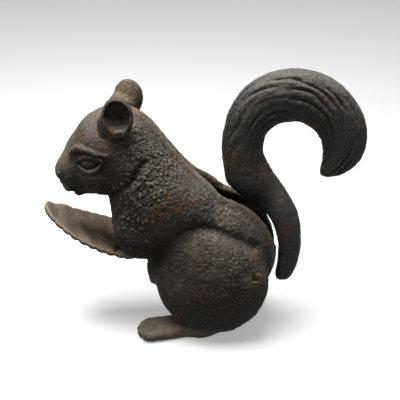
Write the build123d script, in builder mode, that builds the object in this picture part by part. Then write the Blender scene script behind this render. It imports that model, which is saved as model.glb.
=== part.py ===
"""Cast iron squirrel nutcracker: two hollow body halves closed round a tail lever.

Frame: millimetres, +Z up. The squirrel faces -X and its tail stands at +X. The seam
between the two halves is the plane Y = 0, and the left half is on the -Y side. The soles
stand on Z = 0, and X = 0 lies midway between the tips of the paws and the tail.
"""

import os
from math import cos, radians, sin, sqrt

from build123d import *

# ---------------------------------------------------------------- walls and clearances
wall = 3.6  # thickness of the cast body halves
running_clearance = 0.08  # radial, hub bore round the pivot pin
side_clearance = 0.4  # between the hub faces and the pivot bosses
web_clearance = 1.0  # each side of the web in the back slot
paw_clearance = 0.8  # each side of the paw tray between the sleeves
forearm_clearance = 1.0  # each side of the forearm in the belly
end_clearance = 0.3  # at each end of the captive pivot pin

# ---------------------------------------------------------------- rounded body forms
# Each form is an ellipsoid: its centre, its half sizes, and its tilt about Y in degrees.
rump_centre, rump_radii, rump_tilt = (8, 0, 50), (37, 24, 38), 0
torso_centre, torso_radii, torso_tilt = (-23.7, 0, 89.3), (22.4, 22, 36), -41
chest_centre, chest_radii, chest_tilt = (-32, 0, 73), (17, 17, 20), 0
neck_centre, neck_radii, neck_tilt = (-37, 0, 109.5), (19.5, 18.5, 26), -30
back_centre, back_radii, back_tilt = (-5, 0, 80), (18.5, 19, 17), 0
skull_centre, skull_radii, skull_tilt = (-45.5, 0, 113.5), (20, 18, 18.8), 0
face_centre, face_radii, face_tilt = (-59, 0, 106), (12.5, 12.5, 13.5), 0
jaw_centre, jaw_radii, jaw_tilt = (-55, 0, 98.6), (15, 13, 13.0), 0
muzzle_centre, muzzle_radii, muzzle_tilt = (-62, 0, 97.0), (15.6, 11, 12.3), 0
haunch_centre, haunch_radii, haunch_tilt = (9.5, 14.5, 37.5), (31.5, 14.5, 34), 0
belly_centre, belly_radii, belly_tilt = (-9, 8, 42), (19.5, 10, 17), 0
arm_centre, arm_radii, arm_tilt = (-24, 12.5, 72), (20, 10, 20), 0
forearm_centre, forearm_radii, forearm_tilt = (-31.5, 13, 63.5), (14, 8.8, 12), 0
shoulder_centre, shoulder_radii, shoulder_tilt = (-19, 9.5, 84), (16.5, 13, 17.5), 0

# ---------------------------------------------------------------- ears
ear_centre = (-38.2, 16.3, 134.0)
ear_radii = (7.9, 4.6, 9.8)
ear_lean = -4  # outward, about X
ear_root_centre, ear_root_radii = (-41.2, 13.6, 129.0), (8.0, 5.0, 8.5)
cup_rim = 1.4  # rim left round the hollow of the ear
cup_depth = 4.5

# ---------------------------------------------------------------- feet
foot_length = 60
foot_width = 18
heel_width = 11
foot_height = 8.0
foot_round = 3.0  # rounding of the upper edge
leg_place = 38  # from the toe end to the leg
leg_radius = 7
leg_height = 12
left_toe = (-34, 18.5)  # toe end: x, and distance from the seam plane
right_toe = (-21, 22)  # the right foot stands a little further back
left_splay, right_splay = 12, 16  # degrees that each toe end turns out
nub_centre = (-24.5, 29)  # runner stub left on the belly seam: x, z
nub_radius = 4.2

# ---------------------------------------------------------------- pivot and rivets
pivot_x, pivot_z = -6, 64
pivot_pin_radius = 4
pivot_boss_radius = 8
pivot_boss_sink = 7  # length of each end of the pin inside its boss
hub_radius = 8.5
hub_width = 18
head_rivet_x, head_rivet_z, head_rivet_radius = -34.4, 119.3, 2.0
rump_rivet_x, rump_rivet_z, rump_rivet_radius = 34.1, 46.5, 2.5
rivet_boss_wall = 3.0

# ---------------------------------------------------------------- openings in the body
slot_front_x = 12.5  # front end of the slot along the back
slot_mouth_x = -3.0  # where a wedge begins that leads into the front end of the slot
slot_mouth_top, slot_mouth_foot = 99.0, 84.5  # floor of that wedge at its two ends, upwards
slot_bottom_z = 54.0  # lower end of the slot, on the rump
slot_depth = 11.0  # how far the lower end of the slot reaches in from the rump
slot_hub_gap = 2.0  # between the front end of the slot and the hub, upwards
chest_window_bottom = 33.0
chest_window_top = 68.0
tray_room_back = -28.8  # rear end of the wide part of the window, where the tray swings
forearm_slot_back = -15.0  # rear end of its narrow part, where the forearm swings
# Outline of what is cut away in front of the edge of the sleeves, in the seam plane.
sleeve_edge = [(-47.5, 80), (-44.4, 70), (-42, 64), (-40, 57), (-34.5, 50), (-62, 50), (-62, 80)]

# ---------------------------------------------------------------- tail lever
# Sections of the tail from its free lower end to its tip. Each row gives the two edges of
# the section in the seam plane, first the edge towards the body and then round the outside
# of the hook, next the opposite edge, and last half its width across.
tail_sections = [
    ((44.8, 32.0), (53.0, 31.6), 5.0),
    ((46.2, 42.0), (57.2, 43.0), 6.8),
    ((45.9, 55.0), (58.5, 57.0), 7.4),
    ((42.3, 68.5), (56.3, 72.5), 7.8),
    ((35.9, 78.8), (52.2, 82.0), 8.2),
    ((26.9, 84.0), (48.2, 88.7), 8.6),
    ((17.0, 91.8), (44.2, 94.7), 9.0),
    ((14.6, 99.5), (39.6, 101.2), 9.0),
    ((13.2, 110.0), (35.2, 110.0), 9.0),
    ((13.4, 120.0), (35.6, 119.2), 9.0),
    ((16.8, 133.8), (37.6, 123.2), 9.2),
    ((25.5, 146.6), (41.6, 126.4), 9.4),
    ((38.0, 153.6), (46.3, 127.9), 9.6),
    ((52.0, 155.3), (51.8, 128.1), 9.6),
    ((66.3, 151.2), (57.6, 126.1), 9.6),
    ((78.6, 141.4), (62.4, 121.2), 9.4),
    ((86.5, 127.6), (65.4, 114.5), 9.2),
    ((87.2, 113.5), (66.0, 107.6), 8.6),
    ((82.8, 104.6), (65.5, 100.5), 7.4),
    ((75.2, 99.2), (66.6, 97.0), 4.0),
]
web_width = 10
web_bend_x, web_bend_z = 16.0, 74.0  # bend in the upper edge of the web
web_top_x, web_top_z = 36.0, 81.0  # where the edges of the web run into the tail
web_bottom_x, web_bottom_z = 41.0, 77.3
forearm_width = 15
forearm_front = 10.5  # front end of the forearm, behind the origin of the tray
forearm_top = 9.0  # above the lowest point of the dish, square to the tray

# ---------------------------------------------------------------- paw tray
tray_x, tray_z = -57.5, 56.0  # lowest point of the dish
tray_slope = 25.4  # degrees, rising towards the tips of the paws
tray_thickness = 3.0
dish_radii = (50, 29, 24)  # ellipsoid that hollows the tray
tray_rear = 22.0  # from the lowest point to the rear edge
tray_half_width = 15.5  # of its rear part, between the sleeves
# Half of the outline of the tray in front of the sleeves: place along it and half width.
tray_edge = [(-14.0, 15.5), (-8.5, 17.4), (-4.0, 17.8), (2.0, 17.0), (8.0, 15.7), (14.0, 13.8),
             (20.0, 11.6), (26.0, 8.8), (31.0, 5.4), (34.0, 0.0)]
tray_corner = 4.0
tray_rivet_place = -16.0  # along the tray, from its lowest point
tray_rivet_spread = 3.8  # from the seam plane to each rivet
tray_rivet_radius = 2.2
tray_rivet_proud = 1.0

# ---------------------------------------------------------------- sizes that follow
slot_width = web_width + 2 * web_clearance
tray_room_width = 2 * (tray_half_width + paw_clearance)
forearm_slot_width = forearm_width + 2 * forearm_clearance
pivot_boss_face = hub_width / 2 + side_clearance
pivot_pin_half = pivot_boss_face + pivot_boss_sink
reach = 200  # larger than the whole figure


def ellipsoid(centre, radii, tilt, inset=0.0):
    """Ellipsoid turned by its tilt about Y, and shrunk all round by inset."""
    with BuildPart() as ball:
        Sphere(1, rotation=(90, 0, 90))
        scale(by=tuple(radius - inset for radius in radii))
    return ball.part.moved(Location(centre, (0, tilt, 0)))


def body_form(inset=0.0):
    """Outer form of the right half and the middle of the body, or its core with an inset."""
    lobes = [
        ellipsoid(rump_centre, rump_radii, rump_tilt, inset),
        ellipsoid(torso_centre, torso_radii, torso_tilt, inset),
        ellipsoid(chest_centre, chest_radii, chest_tilt, inset),
        ellipsoid(neck_centre, neck_radii, neck_tilt, inset),
        ellipsoid(back_centre, back_radii, back_tilt, inset),
        ellipsoid(skull_centre, skull_radii, skull_tilt, inset),
        ellipsoid(face_centre, face_radii, face_tilt, inset),
        ellipsoid(jaw_centre, jaw_radii, jaw_tilt, inset),
        ellipsoid(muzzle_centre, muzzle_radii, muzzle_tilt, inset),
        ellipsoid(haunch_centre, haunch_radii, haunch_tilt, inset),
        ellipsoid(belly_centre, belly_radii, belly_tilt, inset),
        ellipsoid(arm_centre, arm_radii, arm_tilt, inset),
        ellipsoid(forearm_centre, forearm_radii, forearm_tilt, inset),
        ellipsoid(shoulder_centre, shoulder_radii, shoulder_tilt, inset),
    ]
    with BuildPart() as form:
        add(lobes)
    return form.part


def ear():
    """Right ear, round and hollowed on its outer face."""
    flap_form = ellipsoid((0, 0, 0), ear_radii, 0)
    hollow_radii = (ear_radii[0] - cup_rim, cup_depth, ear_radii[2] - cup_rim)
    hollow_form = ellipsoid((0, cup_depth, 0), hollow_radii, 0)
    with BuildPart() as flap:
        add(flap_form)
        add(hollow_form, mode=Mode.SUBTRACT)
    return flap.part.moved(Location(ear_centre, (-ear_lean, 0, 0)))


def foot(side, toe, splay):
    """Flat foot, broad at the toes, with its sole on Z = 0 and a leg up into the haunch.

    side is -1 for the left foot and 1 for the right one.
    """
    with BuildPart() as pad:
        with BuildSketch():
            with Locations((foot_width / 2, 0)):
                Circle(foot_width / 2)
            with Locations((foot_length - heel_width / 2, 0)):
                Circle(heel_width / 2)
            make_hull()
        extrude(amount=foot_height)
        fillet(pad.faces().sort_by(Axis.Z)[-1].edges(), foot_round)
        with Locations((leg_place, 0, 0)):
            Cylinder(leg_radius, leg_height, align=(Align.CENTER, Align.CENTER, Align.MIN))
    return pad.part.moved(Location((toe[0], side * toe[1], 0), (0, 0, -side * splay)))


def bar(x, z, radius, end, start):
    """Round bar square to the seam plane, between two distances from it."""
    with BuildPart() as rod:
        with BuildSketch(Plane.XZ.offset(-start)):
            with Locations((x, z)):
                Circle(radius)
        extrude(amount=start - end)
    return rod.part


def cavity():
    """Hollow of the right half: the core of its form, less the bosses that reach through it."""
    core = body_form(wall)
    bosses = [
        bar(pivot_x, pivot_z, pivot_boss_radius, reach, pivot_boss_face),
        bar(head_rivet_x, head_rivet_z, head_rivet_radius + rivet_boss_wall, reach, 0),
        bar(rump_rivet_x, rump_rivet_z, rump_rivet_radius + rivet_boss_wall, reach, 0),
    ]
    with BuildPart() as hollow:
        add(core)
        add(bosses, mode=Mode.SUBTRACT)
    return hollow.part


def window(back, width):
    """Space in the chest and belly, open to the front, for what swings between the halves."""
    middle = (chest_window_top + chest_window_bottom) / 2
    with BuildPart() as space:
        with BuildSketch(Plane.XZ.offset(-width / 2)):
            with Locations((back - reach / 2, middle)):
                Rectangle(reach, chest_window_top - chest_window_bottom)
        extrude(amount=width)
    return space.part


def sleeve_trim():
    """What is cut away in front of the edge of the sleeves."""
    with BuildPart() as space:
        with BuildSketch(Plane.XZ.offset(-reach / 2)):
            with BuildLine():
                Polyline(*sleeve_edge, close=True)
            make_face()
        extrude(amount=reach)
    return space.part


def back_slot():
    """Slot along the back and rump for the web of the lever."""
    inside_x = rump_centre[0] + rump_radii[0] - slot_depth
    front_foot_z = pivot_z + hub_radius + slot_hub_gap
    with BuildPart() as space:
        with BuildSketch(Plane.XZ.offset(-slot_width / 2)):
            with BuildLine():
                Polyline((slot_front_x, reach), (slot_front_x, front_foot_z),
                         (inside_x, slot_bottom_z), (reach, slot_bottom_z), (reach, reach),
                         close=True)
            make_face()
        extrude(amount=slot_width)
    return space.part


def slot_mouth():
    """Wedge that widens from the seam to the full width of the slot at its front end."""
    rear_x = slot_front_x + 0.5
    with BuildPart() as space:
        with BuildSketch(Plane.XY):
            with BuildLine():
                Polyline((slot_mouth_x, 0), (rear_x, slot_width / 2), (rear_x, -slot_width / 2),
                         close=True)
            make_face()
        extrude(amount=reach)
        with BuildSketch(Plane.XZ.offset(-slot_width)):
            with BuildLine():
                Polyline((slot_mouth_x - 1, slot_mouth_top), (rear_x, slot_mouth_foot),
                         (rear_x, reach), (slot_mouth_x - 1, reach), close=True)
            make_face()
        extrude(amount=2 * slot_width, mode=Mode.INTERSECT)
    return space.part


def body_half():
    """Right half of the hollow body, without its foot."""
    outside = [body_form(), ear(), ellipsoid(ear_root_centre, ear_root_radii, 0)]
    hollow = cavity()
    holes = [
        bar(pivot_x, pivot_z, pivot_pin_radius, pivot_pin_half + end_clearance, 0),
        bar(head_rivet_x, head_rivet_z, head_rivet_radius, reach, 0),
        bar(rump_rivet_x, rump_rivet_z, rump_rivet_radius, reach, 0),
    ]
    spaces = [window(tray_room_back, tray_room_width),
              window(forearm_slot_back, forearm_slot_width), sleeve_trim(), back_slot(),
              slot_mouth()]
    with BuildPart() as half:
        add(outside)
        with Locations((nub_centre[0], 0, nub_centre[1])):
            Sphere(nub_radius)
        add(hollow, mode=Mode.SUBTRACT)
        add(holes, mode=Mode.SUBTRACT)
        add(spaces, mode=Mode.SUBTRACT)
        split(bisect_by=Plane.XY, keep=Keep.TOP)
        split(bisect_by=Plane.XZ, keep=Keep.BOTTOM)
    return half.part


def side_of(x, z, centre, radii, tilt):
    """Half width of one ellipsoid at a place in the seam plane."""
    turn = radians(tilt)
    along = (x - centre[0]) * cos(turn) - (z - centre[2]) * sin(turn)
    up = (x - centre[0]) * sin(turn) + (z - centre[2]) * cos(turn)
    return centre[1] + radii[1] * sqrt(1 - (along / radii[0]) ** 2 - (up / radii[2]) ** 2)


def tray_point(along, above):
    """Place in the seam plane, measured along the tray and square to it."""
    slope = radians(tray_slope)
    return (tray_x - along * cos(slope) + above * sin(slope),
            tray_z + along * sin(slope) + above * cos(slope))


def dish_rise(along):
    """Height of the middle of the dish above its lowest point."""
    return dish_radii[2] * (1 - sqrt(1 - (along / dish_radii[0]) ** 2))


def dish(growth=0.0):
    """Ellipsoid of the hollow of the tray, grown all round."""
    middle = tray_point(0, dish_radii[2])
    return ellipsoid((middle[0], 0, middle[1]), dish_radii, tray_slope, -growth)


def tray_plane(along, above):
    """Plane square to the tray at a place on its middle line, with X along the tray."""
    x, z = tray_point(along, above)
    slope = radians(tray_slope)
    return Plane(origin=(x, 0, z), x_dir=(-cos(slope), 0, sin(slope)),
                 z_dir=(sin(slope), 0, cos(slope)))


def forearm_height(along):
    """Height of the top of the forearm above the lowest point of the dish."""
    slope = radians(tray_slope)
    run = pivot_x - tray_x
    rise = pivot_z + hub_radius - tray_z
    hub_along = -run * cos(slope) + rise * sin(slope)
    hub_above = run * sin(slope) + rise * cos(slope)
    share = (along + forearm_front) / (hub_along + forearm_front)
    return forearm_top + share * (hub_above - forearm_top)


def seam_plane_slab(points, width):
    """Flat piece with a straight outline in the seam plane, centred on that plane."""
    with BuildPart() as slab:
        with BuildSketch(Plane.XZ.offset(-width / 2)):
            with BuildLine():
                Polyline(*points, close=True)
            make_face()
        extrude(amount=width)
    return slab.part


def tail_section(edge, other_edge):
    """Plane across the tail between two edge points, and half the distance between them."""
    near, far = Vector(edge[0], 0, edge[1]), Vector(other_edge[0], 0, other_edge[1])
    across = far - near
    plane = Plane(origin=(near + far) / 2, x_dir=across.normalized(),
                  z_dir=Vector(0, 1, 0).cross(across.normalized()))
    return plane, across.length / 2


def rivet_bar(x, z, radius, half_length):
    """Round bar right through the body, the same length on each side of the seam."""
    with BuildPart() as rod:
        with BuildSketch(Plane.XZ.offset(-half_length)):
            with Locations((x, z)):
                Circle(radius)
        extrude(amount=2 * half_length)
    return rod.part


def finish(part, name):
    """Label a piece and write it to its own file."""
    part.label = name
    export_step(part, f"parts/{name}.step")


os.makedirs("parts", exist_ok=True)

# ---------------------------------------------------------------- body halves
right_half = body_half()
left_half = mirror(right_half, about=Plane.XZ)
for half, side, toe, splay, name in ((left_half, -1, left_toe, left_splay, "left_body_shell"),
                                     (right_half, 1, right_toe, right_splay, "right_body_shell")):
    standing_foot = foot(side, toe, splay)
    with BuildPart() as body_shell:
        add(half)
        add(standing_foot)
    finish(body_shell.part, name)

# ---------------------------------------------------------------- paw tray
dish_hollow = dish()
dish_outside = dish(tray_thickness)
tray_rivet_foot = dish_rise(tray_rivet_place) - tray_thickness
with BuildPart() as tray_rivets:
    with BuildSketch(tray_plane(tray_rivet_place, tray_rivet_foot)):
        with Locations((0, -tray_rivet_spread), (0, tray_rivet_spread)):
            Circle(tray_rivet_radius)
    extrude(amount=forearm_height(tray_rivet_place) + tray_rivet_proud - tray_rivet_foot)

with BuildPart() as paw_tray:
    with BuildSketch(tray_plane(0, 0)) as tray_outline:
        with BuildLine():
            Spline(tray_edge)
            Spline([(along, -across) for along, across in tray_edge])
            Line(tray_edge[0], (tray_edge[0][0], -tray_half_width))
        make_face()
        Rectangle(tray_rear, 2 * tray_half_width, align=(Align.MAX, Align.CENTER))
        fillet(tray_outline.vertices().sort_by(Axis.X)[:2], tray_corner)
    extrude(amount=dish_radii[2], both=True)
    add(dish_outside, mode=Mode.INTERSECT)
    add(dish_hollow, mode=Mode.SUBTRACT)
    add(tray_rivets.part, mode=Mode.SUBTRACT)
finish(paw_tray.part, "paw_tray")
finish(tray_rivets.part, "tray_rivets")

# ---------------------------------------------------------------- tail lever
web = seam_plane_slab([(pivot_x, pivot_z + hub_radius), (web_bend_x, web_bend_z),
                       (web_top_x, web_top_z), (web_bottom_x, web_bottom_z),
                       (pivot_x, pivot_z - hub_radius)], web_width)
forearm = seam_plane_slab([(pivot_x, pivot_z + hub_radius), tray_point(-forearm_front, forearm_top),
                           tray_point(-forearm_front, -tray_thickness),
                           tray_point(-tray_rear, -tray_thickness),
                           tray_point(-tray_rear - end_clearance, 0),
                           (pivot_x, pivot_z - hub_radius)], forearm_width)
with BuildPart() as tray_seat:
    with BuildSketch(tray_plane(0, 0)):
        Rectangle(2 * tray_rear, reach)
    extrude(amount=dish_radii[2], both=True)
    add(dish_hollow, mode=Mode.SUBTRACT)
hub_bore = rivet_bar(pivot_x, pivot_z, pivot_pin_radius + running_clearance, reach)
hub = rivet_bar(pivot_x, pivot_z, hub_radius, hub_width / 2)

with BuildPart() as tail_lever:
    for edge, other_edge, half_width in tail_sections:
        section_plane, half_thickness = tail_section(edge, other_edge)
        with BuildSketch(section_plane):
            Circle(1)
            scale(by=(half_thickness, half_width, 1))
    loft()
    add(web)
    add(forearm)
    add(tray_seat.part, mode=Mode.SUBTRACT)
    add(hub)
    add(hub_bore, mode=Mode.SUBTRACT)
    add(tray_rivets.part, mode=Mode.SUBTRACT)
finish(tail_lever.part, "tail_lever")

# ---------------------------------------------------------------- pivot pin and rivets
pivot_pin = rivet_bar(pivot_x, pivot_z, pivot_pin_radius, pivot_pin_half)
finish(pivot_pin, "pivot_pin")

head_half_width = side_of(head_rivet_x, head_rivet_z, neck_centre, neck_radii, neck_tilt)
head_rivet = rivet_bar(head_rivet_x, head_rivet_z, head_rivet_radius, head_half_width)
finish(head_rivet, "head_rivet")

rump_half_width = max(side_of(rump_rivet_x, rump_rivet_z, rump_centre, rump_radii, rump_tilt),
                      side_of(rump_rivet_x, rump_rivet_z, haunch_centre, haunch_radii, haunch_tilt))
rump_rivet = rivet_bar(rump_rivet_x, rump_rivet_z, rump_rivet_radius, rump_half_width)
finish(rump_rivet, "rump_rivet")
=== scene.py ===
"""Cast iron squirrel nutcracker: two body halves, the tail lever, the paw tray and the rivets.

Sizes are in millimetres in the part's own frame: the squirrel faces -X, its tail is at +X,
+Z is up and the seam between the body halves is Y = 0. Meshes are made in metres.
"""

import math

import bpy
import numpy as np
import openvdb
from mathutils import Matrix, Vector


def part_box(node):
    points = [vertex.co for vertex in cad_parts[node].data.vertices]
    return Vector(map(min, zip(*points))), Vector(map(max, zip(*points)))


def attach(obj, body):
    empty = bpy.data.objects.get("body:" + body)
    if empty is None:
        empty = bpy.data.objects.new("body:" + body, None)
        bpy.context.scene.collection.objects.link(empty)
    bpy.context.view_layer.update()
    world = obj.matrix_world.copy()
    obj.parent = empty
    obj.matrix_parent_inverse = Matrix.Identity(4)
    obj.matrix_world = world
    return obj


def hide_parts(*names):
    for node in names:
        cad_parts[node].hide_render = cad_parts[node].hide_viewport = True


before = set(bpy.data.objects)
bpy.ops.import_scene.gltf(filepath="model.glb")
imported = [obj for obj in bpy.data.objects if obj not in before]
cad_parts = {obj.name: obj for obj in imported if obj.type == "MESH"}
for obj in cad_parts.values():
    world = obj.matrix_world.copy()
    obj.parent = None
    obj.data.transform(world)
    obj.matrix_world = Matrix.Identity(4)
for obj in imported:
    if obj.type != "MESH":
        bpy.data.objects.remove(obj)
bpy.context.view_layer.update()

MM = 0.001
PER_METRE = 1000.0  # millimetres
STEP = 0.54  # grid of the sculpted iron

# ---------- sizes of the iron
WALL = 3.6
INNER_DEPTH = 2.9  # under the outer form, from where the mesh is thinned out
INNER_THINNING = 0.9
SEAM = 0.05  # half of the hairline between the body halves
PIVOT = (-6, 64)
BOSS_RADIUS = 8
BOSS_FACE = 9.4
PIN_RADIUS = 4
PIN_SINK = 16.7
BORE_SPARE = 0.3  # the bore goes deeper than the pin
HUB_RADIUS = 8.5
HUB_HALF = 9
HUB_BORE = 4.08
HEAD_RIVET = ((-34.4, 119.3), 2.0)  # place and radius
RUMP_RIVET = ((34.1, 46.5), 2.5)
RIVET_BOSS = 3.0
TRAY_RIVET_RADIUS = 2.2
TRAY_RIVET_REACH = 8.4  # half of its length
TRAY_RIVET_SIDE = 3.8
WEB_HALF = 5
SLOT_HALF = 6
SLOT_MOUTH = (-3, 12.5)  # where the slot starts to open, and where it has its full width
SLOT_MOUTH_END = 14
FOREARM_HALF = 7.5
FOREARM_SLOT_HALF = 8.5
TRAY_ROOM_HALF = 16.3

# Egg shapes: centre, half sizes, tilt about Y in degrees.
TRUNK = {
    "rump": ((8, 0, 50), (37, 24, 38), 0),
    "torso": ((-23.7, 0, 89.3), (22.4, 22, 36), -41),
    "back": ((-5, 0, 80), (18.5, 19, 17), 0),
    "neck": ((-37, 0, 109.5), (19.5, 18.5, 26), -30),
    "chest": ((-32, 0, 73), (17, 17, 20), 0),
}
HEAD = {
    "skull": ((-45.5, 0, 113.5), (20, 18, 18.8), 0),
    "face": ((-59, 0, 106), (12.5, 12.5, 13.5), 0),
    "jaw": ((-55, 0, 98.6), (15, 13, 13), 0),
    "muzzle": ((-62, 0, 97), (15.6, 11, 12.3), 0),
}
ARM = {
    "shoulder": ((-19, 9.5, 84), (16.5, 13, 17.5), 0),
    "arm": ((-24, 12.5, 72), (20, 10, 20), 0),
    "forearm": ((-31.5, 13, 63.5), (14, 8.8, 12), 0),
}
CHEEK = ((-50, 9.5, 99), (11.5, 9, 11), 20)
HAUNCH = ((9.5, 14.5, 37.5), (31.5, 14.5, 34), 0)
BELLY = ((-9, 8, 42), (19.5, 10, 17), 0)
NUB = ((-24.5, 0, 29), (4.2, 4.2, 4.2), 0)
EAR = ((-38.2, 16.3, 134), (7.9, 4.6, 9.8))
EAR_ROOT = ((-41.2, 13.6, 129), (8, 5, 8.5), 0)
EAR_LEAN = -4
EYE_SOCKET = ((-55.2, 18, 108.6), (8.4, 4.8, 5.8), -12)
EYEBALL = ((-54, 12.9, 107.5), (5.4, 4.1, 4), -12)
NOSE = ((-73.2, 4.4, 97.2), (3.2, 4, 2.5), 35)
NOSTRIL = ((-74.6, 6.8, 93.6), (2.6, 3.2, 1.4), 30)
NOSE_NOTCH = ((-76.8, 0, 92.6), (3, 6, 1.4), 30)
UPPER_LIP = ((-69.4, 4.5, 89.4), (3.2, 5, 2.2), 20)
LOWER_LIP = ((-63.6, 4.5, 86.9), (3, 4.6, 2.2), 0)
# Fillets between those forms.
TRUNK_FILLET = 7
ARM_FILLET = 6
HEAD_FILLET = 5
FORM_FILLET = 3

TOES = {"left": ((-34, 18.5), 12), "right": ((-21, 22), 16)}  # toe end, splay
TOE_PITCH = 4.4
FOOT_LENGTH = 60
FOOT_HALF = 9
FOOT_EDGE = 3  # rounding
LEG_PLACE = 38  # from the toe end
LEG_RADIUS = 7
LEG_TOP = 14
HEEL_HALF = 5.5
SLEEVE_EDGE = [(-47.5, 80), (-44.4, 70), (-42, 64), (-40, 57), (-34.5, 50), (-62, 50), (-62, 80)]
WINDOW = (33, 68)  # lower and upper end of the window in the chest
FAR = 99  # beyond the body, for openings that go right through
TRAY_ROOM_BACK = -28.8
FOREARM_SLOT_BACK = -15
BACK_SLOT = [(12.5, 200), (12.5, 74.5), (34, 54), (200, 54), (200, 200)]

# Carved lines of the outer side, as points in the seam plane.
HAUNCH_CREASE = [(-20.4, 50.6), (-14.6, 64.2), (-7.5, 71.8), (1.9, 73.7), (10.9, 72.2), (18.9, 68.6),
                 (31.4, 61.6)]
CHEEK_CREASE = [(-43.8, 89.5), (-38.4, 94.6), (-31.5, 100.5), (-26.5, 109)]
MOUTH = [(-68, 88.5), (-65.7, 89.9), (-58.5, 94.2), (-52.6, 96.5)]
CREASES = ((HAUNCH_CREASE, 1.5, 2.8), (CHEEK_CREASE, 1.4, 2.0), (MOUTH, 0.9, 1.0))  # depth, width
BACK_LINE = [(-32, 131.2), (-20, 119.4), (-8, 104.8), (4, 95.2), (16, 87.4), (28, 81.8), (36, 75),
             (43, 60), (44, 50)]
# Raised lines of the face: points on one side of it, and the radius of the bead there.
BROW = [(-66, 10.2, 108.2, 0.7), (-64.6, 10.9, 112.4, 1.4), (-60.4, 12.8, 115.4, 1.8),
        (-55, 15.7, 115.1, 1.7), (-49.8, 17.6, 114.2, 1.3), (-43.8, 18.4, 113.8, 0.6)]
UPPER_LID = [(-61.4, 12.8, 107.4, 0.6), (-59.2, 14, 109.8, 1.1), (-55.6, 15.4, 111.3, 1.4),
             (-51.5, 16.8, 111.8, 1.5), (-47.6, 17.8, 110.8, 1.3)]
LOWER_LID = [(-47.6, 17.8, 110.4, 0.9), (-48.4, 17.5, 107.2, 1.2), (-52, 16.9, 104, 1.4),
             (-56.6, 15.5, 103.2, 1.3), (-60.3, 13.4, 104.7, 1), (-61.4, 12.8, 107, 0.6)]


# ---------- sculpting
def room(low, high):
    """Coordinates of a box of grid points, as three arrays that broadcast together."""
    axes = [np.arange(a, b, STEP, dtype=np.float32) for a, b in zip(low, high)]
    return axes[0][:, None, None], axes[1][None, :, None], axes[2][None, None, :]


def nook(p, low, high):
    """Slices of the grid over a smaller box, and that box's coordinates."""
    spans = [np.searchsorted(axis.ravel(), (a, b)) for axis, a, b in zip(p, low, high)]
    cuts = tuple(slice(*span) for span in spans)
    return cuts, (p[0][cuts[0]], p[1][:, cuts[1]], p[2][:, :, cuts[2]])


def turned(a, b, degrees):
    """Two coordinates, in axes turned from the first towards the second."""
    cos = math.cos(math.radians(degrees))
    sin = math.sin(math.radians(degrees))
    return a * cos + b * sin, b * cos - a * sin


def egg(p, centre, radii, tilt=0.0):
    """Signed distance to an ellipsoid, near enough for sculpting."""
    x, y, z = (axis - middle for axis, middle in zip(p, centre))
    a, c = turned(x, z, -tilt)
    near = np.sqrt((a / radii[0]) ** 2 + (y / radii[1]) ** 2 + (c / radii[2]) ** 2)
    far = np.sqrt((a / radii[0] ** 2) ** 2 + (y / radii[1] ** 2) ** 2 + (c / radii[2] ** 2) ** 2)
    return near * (near - 1) / np.maximum(far, 1e-6)


def melt(a, b, reach):
    """Union of two forms, with a fillet as wide as reach."""
    mix = np.clip(0.5 + 0.5 * (b - a) / reach, 0, 1)
    return b + (a - b) * mix - reach * mix * (1 - mix)


def melted(p, eggs, reach):
    """Eggs of a table, joined with fillets."""
    first_egg, *others = eggs.values()
    form = egg(p, *first_egg)
    for other in others:
        form = melt(form, egg(p, *other), reach)
    return form


def cut(a, b, reach):
    """Form a with form b taken out of it, the new edges rounded."""
    return -melt(-a, b, reach)


def rod(p, place, radius):
    """Round bar along Y."""
    return np.sqrt((p[0] - place[0]) ** 2 + (p[2] - place[1]) ** 2) - radius


def line_distance(x, z, points):
    """Distance to an open line in the seam plane."""
    best = None
    for (x0, z0), (x1, z1) in zip(points, points[1:]):
        dx = x1 - x0
        dz = z1 - z0
        along = np.clip(((x - x0) * dx + (z - z0) * dz) / (dx * dx + dz * dz), 0, 1)
        gap = (x - x0 - along * dx) ** 2 + (z - z0 - along * dz) ** 2
        best = gap if best is None else np.minimum(best, gap)
    return np.sqrt(best)


def outline_distance(x, z, points):
    """Signed distance to a closed outline in the seam plane, negative inside."""
    inside = np.zeros(np.broadcast(x, z).shape, bool)
    for (x0, z0), (x1, z1) in zip(points, points[1:] + points[:1]):
        if z1 != z0:
            crossing = (z0 <= z) != (z1 <= z)
            inside ^= crossing & (x < x0 + (z - z0) * (x1 - x0) / (z1 - z0))
    gap = line_distance(x, z, points + points[:1])
    return np.where(inside, -gap, gap)


def block(p, outline, half, rounding=0.5):
    """Flat piece about the seam plane with a straight outline and rounded edges."""
    return cut(outline_distance(p[0], p[2], outline) + 0 * p[1], half - np.abs(p[1]), rounding)


def bump(distance, width):
    """Soft ridge: 1 on the line, 0 well away from it."""
    return np.exp(-((distance / width) ** 2))


def spot(x, z, place, wide, high):
    """Soft spot in the side view: 1 in its middle, 0 well away from it."""
    return np.exp(-(((x - place[0]) / wide) ** 2 + ((z - place[1]) / high) ** 2))


def patch(x, z, place, wide, high):
    """Patch in the side view with a narrow soft edge."""
    return np.clip(1.5 * (1 - ((x - place[0]) / wide) ** 2 - ((z - place[1]) / high) ** 2), 0, 1)


def rise(value, start, reach):
    """Straight rise from 0 at start to 1 after a reach, which is negative for lower values."""
    return np.clip((value - start) / reach, 0, 1)


def supple(rows, steps=5):
    """Smooth line through rows of values, with some steps between each two."""
    rows = np.array(rows, float)
    padded = np.vstack([2 * rows[0] - rows[1], rows, 2 * rows[-1] - rows[-2]])
    places = np.linspace(0, len(rows) - 1, (len(rows) - 1) * steps + 1)
    i = np.clip(np.floor(places).astype(int), 0, len(rows) - 2)
    t = (places - i)[:, None]
    a, b, c, d = (padded[i + k] for k in range(4))
    square = (2 * a - 5 * b + 4 * c - d) * t ** 2
    cube = (3 * b - a - 3 * c + d) * t ** 3
    return 0.5 * (2 * b + (c - a) * t + square + cube)


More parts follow.
